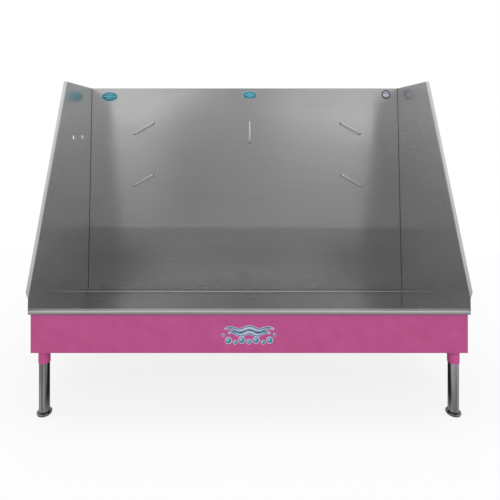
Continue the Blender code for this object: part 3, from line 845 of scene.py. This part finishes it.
def rail(node):
    """Square tube with rounded corners, along the longest side of its CAD node."""
    low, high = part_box(node)
    size = high - low
    along = max(range(3), key=lambda axis: size[axis])
    first, second = [axis for axis in range(3) if axis != along]
    bm = bmesh.new()
    loops = []
    for end in (low[along], high[along]):
        for inset, radius in ((0.0, RAIL_CORNER), (RAIL_WALL, RAIL_CORNER - RAIL_WALL / 2)):
            half_across = size[first] / 2 - inset
            half_up = size[second] / 2 - inset
            loop = []
            for across, up in rounded([(-half_across, -half_up, radius), (half_across, -half_up, radius),
                                       (half_across, half_up, radius), (-half_across, half_up, radius)]):
                point = Vector((0.0, 0.0, 0.0))
                point[along] = end
                point[first] = low[first] + size[first] / 2 + across
                point[second] = low[second] + size[second] / 2 + up
                loop.append(bm.verts.new(point))
            loops.append(loop)
    near_outer, near_inner, far_outer, far_inner = loops
    bridge(bm, [near_outer, near_inner, far_inner, far_outer, near_outer])
    bmesh.ops.recalc_face_normals(bm, faces=bm.faces)
    piece(f"{node}_tube", bm, ("pink",), "tub", [node])


def basket():
    """Lift-out hair basket: turned wall and knob round a deck with rings of holes."""
    low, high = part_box("strainer_basket")
    middle = (low + high) / 2
    place = Matrix.Translation((middle.x, middle.y, 0.0))
    rim = (high.x - low.x) / 2
    outer = rim - BASKET_RIM
    inner = outer - BASKET_WALL
    rim_low = high.z - BASKET_WALL
    deck = low.z + BASKET_WALL
    knob_low = rim_low - KNOB_HEIGHT
    bm = lathe([(inner, low.z, EDGE), (outer, low.z, BASKET_CORNER), (outer, rim_low, EDGE),
                (rim, rim_low, EDGE), (rim, high.z, EDGE), (inner, high.z, EDGE)], matrix=place)
    stem = [(0.0, rim_low, 0), (KNOB_RADIUS, rim_low, KNOB_TOP_EDGE), (KNOB_RADIUS, knob_low, KNOB_EDGE),
            (STEM_RADIUS, knob_low, STEM_FILLET), (STEM_RADIUS, deck, EDGE), (0.0, deck, 0)]
    lathe(stem, SMALL_SIDES, bm, place)

    def loop_round(x, y, radius, sides):
        return [place @ Vector((x + radius * cosine, y + radius * sine, deck))
                for cosine, sine in circle(sides)]

    loops = [loop_round(0.0, 0.0, inner + BASKET_WALL / 3, TURNED_SIDES)]
    for ring, (radius, count) in enumerate(BASKET_HOLES):
        for index in range(count):
            angle = math.tau * (index + ring / 2) / count
            x = radius * math.cos(angle)
            y = radius * math.sin(angle)
            loops.append(loop_round(x, y, BASKET_HOLE, HOLE_SIDES))
    edges = []
    for loop in loops:
        corners = [bm.verts.new(point) for point in loop]
        edges += [bm.edges.new(pair) for pair in zip(corners, corners[1:] + corners[:1])]
    filled = bmesh.ops.triangle_fill(bm, use_beauty=True, edges=edges, normal=(0.0, 0.0, 1.0))
    sheet = [item for item in filled["geom"] if isinstance(item, bmesh.types.BMFace)]
    grown = bmesh.ops.extrude_face_region(bm, geom=sheet)
    for item in grown["geom"]:
        if isinstance(item, bmesh.types.BMVert):
            item.co.z = low.z
    bmesh.ops.recalc_face_normals(bm, faces=bm.faces)
    piece("strainer_basket_perforated", bm, ("turned",), "basket", ["strainer_basket"])


def faucet_collars():
    """Turned collar behind each faucet hole of the left panel."""
    for row, y in zip(("front", "rear"), FAUCET_PLACES):
        turn = Matrix.Translation((0.0, y, FAUCET_HEIGHT)) @ Matrix.Rotation(-UPRIGHT, 4, "Y")
        near = FAUCET_FACE + COLLAR_STANDOFF
        far = near + COLLAR_LENGTH
        collar = [(FAUCET_RADIUS, near, EDGE), (FAUCET_RADIUS + COLLAR_WALL, near, EDGE),
                  (FAUCET_RADIUS + COLLAR_WALL, far, EDGE), (FAUCET_RADIUS, far, EDGE)]
        bm = lathe(collar, SMALL_SIDES, matrix=turn)
        piece(f"{row}_faucet_collar", bm, ("foot",), "tub")


def rim_plugs():
    """Flat plug that closes each end of the basin's rolled rim."""
    low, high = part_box("basin")
    front = low.y + SHEET + GAP
    back = low.y + RIM_RETURN - GAP
    top = high.z - SHEET - GAP
    bottom = high.z - RIM_LIP + SHEET + GAP
    outline = rounded([(front, bottom, PLUG_CORNER), (back, bottom, 0), (back, top, 0),
                       (front, top, PLUG_CORNER)])
    middle = Vector(((front + back) / 2, (top + bottom) / 2))
    for side, sign in (("left", -1.0), ("right", 1.0)):
        outer = sign * (high.x - PLUG_INSET)
        bm = bmesh.new()
        rings = []
        for x, share in ((outer - sign * PLUG_DEPTH, 1.0), (outer - sign * EDGE, 1.0), (outer, PLUG_FACE)):
            rings.append([bm.verts.new((x, *(middle + (point - middle) * share))) for point in outline])
        skin(bm, rings)
        piece(f"{side}_rim_plug", bm, ("turned",), "tub")


def meets(node, start, heading):
    """Point at which a ray first meets a CAD node."""
    found, point, _, _ = frame["nodes"][node].ray_cast(Vector(start), Vector(heading))
    if not found:
        raise ValueError(f"{node} isn't met from {start}")
    return point


def seams():
    """Sealed joint of the side panels with the back panel and with the basin's floor; the dark weld bead
    beside each corner seam is painted shade of the gap between the panels.
    """
    low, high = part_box("back_panel")
    ends = (low.z + SEAM_FOOT, high.z - SEAM_HEAD)
    back = face_depth(low.z) - SEAM_BACK
    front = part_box("basin")[0].y + SEAM_FRONT
    for side, sign in (("left", -1.0), ("right", 1.0)):
        wall = meets(f"{side}_side_panel", (0.0, 0.0, PROBE_HEIGHT), (sign, 0.0, 0.0)).x
        inside = wall - sign * SEAM_RADIUS
        beside = inside - sign * (SEAM_RADIUS + BEAD_RADIUS)
        bm = bmesh.new()
        # The second, dark weld bead beside the seam is painted shade of the gap between the panels
        for index, (x, radius) in enumerate(((inside, SEAM_RADIUS), (beside, BEAD_RADIUS))):
            path = [Vector((x, face_depth(height) - radius, height)) for height in ends]
            swept(bm, path, radius, SEAM_SIDES, index)
        piece(f"{side}_corner_seam", bm, ("seam", "weld"), "tub")

        path = []
        for step in range(SEAM_STEPS + 1):
            y = back - step / SEAM_STEPS * (back - front)
            floor = meets("basin", (inside, y, PROBE_HEIGHT), (0.0, 0.0, -1.0)).z
            path.append(Vector((inside, y, floor + SEAM_RADIUS)))
        bm = bmesh.new()
        swept(bm, path, SEAM_RADIUS, SEAM_SIDES)
        piece(f"{side}_floor_seam", bm, ("weld",), "tub")


def film_oval(bm, form, face, low, top, sides, index):
    """Thin flat oval from low to top, whose edge slopes in to the given share of its size."""
    lathe([(0.0, top, 0), (face, top, 0), (1.0, low, 0), (0.0, low, 0)], sides, bm, form, index)


def sticker(name, base, width, tall, layers):
    """Printed film of thin oval layers over each other."""
    bm = bmesh.new()
    rise = GAP
    for index, (across, up, lift, _) in enumerate(layers):
        top = rise + FILM
        form = base @ Matrix.Translation((0.0, lift * tall / 2, 0.0))
        form = form @ Matrix.Diagonal((width / 2 * across, tall / 2 * up, 1.0, 1.0))
        low = GAP / 2 if index == 0 else top - FILM * FILM_OVERLAP
        film_oval(bm, form, OVAL_FACE, low, top, TURNED_SIDES, index)
        rise = top
    piece(name, bm, [finish for _, _, _, finish in layers], "tub")


def ribbon(bm, base, path, widths, low, top, index):
    """Thin flat ribbon along a path of points, with a half width at each."""
    rings = []
    for point, heading, width in zip(path, headings(path), widths):
        side = Vector((-heading.y, heading.x)) * width
        rings.append([bm.verts.new(base @ Vector((*(point + side * sign), height)))
                      for sign, height in ((-1.0, low), (1.0, low), (1.0, top), (-1.0, top))])
    skin(bm, rings, index)


def decal():
    """Plain waves and bubbles on the middle of the apron."""
    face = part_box("front_apron")[0].y
    base = Matrix.Translation((0.0, face, DECAL_HEIGHT)) @ Matrix.Rotation(UPRIGHT, 4, "X")
    bm = bmesh.new()
    for lift, reach, swell, thickness in WAVES:
        path = []
        widths = []
        for step in range(WAVE_STEPS + 1):
            along = step / WAVE_STEPS * 2 - 1
            rise = swell * math.cos(along * math.pi * WAVE_BENDS)
            path.append(Vector((along * reach, lift + rise)))
            widths.append(thickness * (1 - along * along) + WAVE_TIP)
        for layer, (index, wide) in enumerate(WAVE_LAYERS):
            top = GAP + FILM * (layer + 1)
            foot = GAP / 2 if layer == 0 else top - FILM * FILM_OVERLAP
            ribbon(bm, base, path, [width + wide for width in widths], foot, top, index)
    for across, up, radius in BUBBLES:
        for layer, (index, share, shift) in enumerate(BUBBLE_LAYERS):
            top = GAP + FILM * (layer + 1)
            foot = GAP / 2 if layer == 0 else top - FILM * FILM_OVERLAP
            middle = Matrix.Translation((across - radius * shift, up + radius * shift, 0.0))
            form = base @ middle @ Matrix.Diagonal((radius * share, radius * share, 1.0, 1.0))
            film_oval(bm, form, BUBBLE_FACE, foot, top, SMALL_SIDES, index)
    piece("apron_decal", bm, DECAL_FINISHES, "tub")


# Stage

def softbox(name, place, target, size, watts):
    """Area light that the steel doesn't mirror."""
    data = bpy.data.lights.new(name, "AREA")
    data.shape = "RECTANGLE"
    data.size, data.size_y = size
    data.energy = watts
    light = bpy.data.objects.new(name, data)
    light.location = place
    light.rotation_euler = (Vector(target) - Vector(place)).to_track_quat("-Z", "Y").to_euler()
    light.visible_camera = False
    light.visible_glossy = False
    bpy.context.scene.collection.objects.link(light)


def make_world():
    """World that is white where it is seen, and gives a softer fill light."""
    world = bpy.data.worlds.new("studio")
    bpy.context.scene.world = world
    tree = Tree(world)
    fill = tree.nodes["Background"]
    white = tree.add("ShaderNodeBackground")
    for node, strength in ((fill, FILL_STRENGTH), (white, 1.0)):
        node.inputs["Color"].default_value = WHITE
        node.inputs["Strength"].default_value = strength
    tree.end_in("World Output", tree.seen_share(), fill.outputs["Background"], white.outputs["Background"])


def make_floor():
    """Wide pale floor that keeps the tub's shadow near it and runs out into the white background."""
    bm = bmesh.new()
    bmesh.ops.create_grid(bm, x_segments=8, y_segments=8, size=FLOOR_SIZE)
    material = bpy.data.materials.new("pale_floor")
    tree = Tree(material)
    shader = tree.nodes["Principled BSDF"]
    shader.inputs["Base Color"].default_value = FLOOR_COLOUR
    shader.inputs["Roughness"].default_value = 0.9
    shader.inputs["Specular IOR Level"].default_value = 0.1
    white = tree.add("ShaderNodeEmission")
    length = tree.add("ShaderNodeVectorMath", operation="LENGTH")
    tree.join(tree.own_place(), length.inputs[0])
    far = tree.remap(length.outputs["Value"], *FLOOR_WHITE, *FLOOR_FADE)
    share = tree.math("MULTIPLY", far, tree.seen_share())
    tree.end_in("Material Output", share, shader.outputs["BSDF"], white.outputs["Emission"])
    floor = mesh_object("floor", bm, [material])
    floor.location = (0.0, 0.0, -FLOOR_DROP)


def glow_card(name, path, strength):
    """Wide card along a path of (y, z) points, seen only in mirrored rays; strength gives it its glow."""
    bm = bmesh.new()
    rows = [[bm.verts.new((x, across, up)) for x in (-CARD_HALF, CARD_HALF)] for across, up in path]
    for first, second in zip(rows, rows[1:]):
        bm.faces.new((first[0], first[1], second[1], second[0]))
    material = bpy.data.materials.new(f"{name}_glow")
    tree = Tree(material)
    tree.nodes.remove(tree.nodes["Principled BSDF"])
    glow = tree.add("ShaderNodeEmission")
    tree.join(strength(tree, tree.parts(tree.own_place())), glow.inputs["Strength"])
    tree.join(glow.outputs["Emission"], tree.nodes["Material Output"].inputs["Surface"])
    card = mesh_object(name, bm, [material])
    card.visible_camera = False
    card.visible_diffuse = False
    card.visible_shadow = False


def front_glow(tree, axes):
    """Grey floor and wall before the tub: paler to the sides and higher up, and dark under the tub."""
    across, depth, height = axes
    aside = tree.math("ABSOLUTE", across)
    base = tree.math("ADD", tree.line(depth, FLOOR_GLOW), tree.line(height, WALL_GLOW))
    spread = tree.math("SUBTRACT", across, tree.line(height, LEFT_SPREAD))
    sides = tree.math("ADD", tree.line(spread, LEFT_PATCH), tree.line(across, RIGHT_PATCH))
    sides = tree.math("MULTIPLY", sides, tree.line(aside, PATCH_ENDS))
    patch = tree.math("MULTIPLY", sides, tree.line(height, PATCH_RISE))
    flank = tree.math("MULTIPLY", tree.line(aside, FLANK_ASIDE), tree.line(height, FLANK_RISE))
    strength = tree.math("ADD", base, tree.math("ADD", patch, flank))
    dip = tree.math("MULTIPLY", tree.line(across, DIP_ACROSS), tree.line(height, DIP_RISE))
    strength = tree.math("SUBTRACT", strength, dip)
    shade = tree.math("MULTIPLY", tree.line(aside, SHADE_ASIDE), tree.line(depth, SHADE_DEPTH))
    lit = tree.math("SUBTRACT", 1.0, tree.math("MULTIPLY", shade, SHADE_SHARE))
    return tree.math("MULTIPLY", strength, lit)


def ceiling_glow(tree, axes):
    return tree.line(axes["Y"], CEILING_GLOW)


def rear_glow(tree, axes):
    return tree.line(axes["Z"], REAR_GLOW)


def make_reflectors():
    """Grey studio cards that the steel mirrors, before, above and behind the tub."""
    front = [(CARD_NEAR, CARD_FOOT, 0), (-CARD_FAR, CARD_FOOT, CARD_BEND), (-CARD_FAR, CARD_TOP, 0)]
    glow_card("front_card", rounded(front), front_glow)
    glow_card("ceiling_card", [(-CARD_FAR, CARD_TOP), (CARD_REAR, CARD_TOP)], ceiling_glow)
    glow_card("rear_card", [(CARD_REAR, CARD_FOOT), (CARD_REAR, CARD_TOP)], rear_glow)


def make_camera():
    data = bpy.data.cameras.new("camera")
    data.lens = CAMERA_LENS
    data.sensor_width = CAMERA_SENSOR
    data.shift_x, data.shift_y = CAMERA_SHIFT
    data.clip_end = CAMERA_REACH
    camera = bpy.data.objects.new("camera", data)
    camera.location = CAMERA_PLACE
    camera.rotation_euler = (UPRIGHT, 0.0, 0.0)
    bpy.context.scene.collection.objects.link(camera)
    bpy.context.scene.camera = camera


dress_cad_nodes()
restraint_bars()
for end in ("front", "rear"):
    for side in ("left", "right"):
        leg(f"{end}_{side}")
for node in ("front_rail", "rear_rail", "left_side_rail", "right_side_rail",
             "front_floor_bearer", "rear_floor_bearer"):
    rail(node)
basket()
faucet_collars()
rim_plugs()
seams()
for name, across, up, width, tall, layers in STICKERS:
    sticker(name, panel_frame(across, up), width, tall, layers)
decal()

bpy.context.scene.view_settings.view_transform = "Standard"
make_world()
make_floor()
make_reflectors()
make_camera()
for settings in SOFTBOXES:
    softbox(*settings)
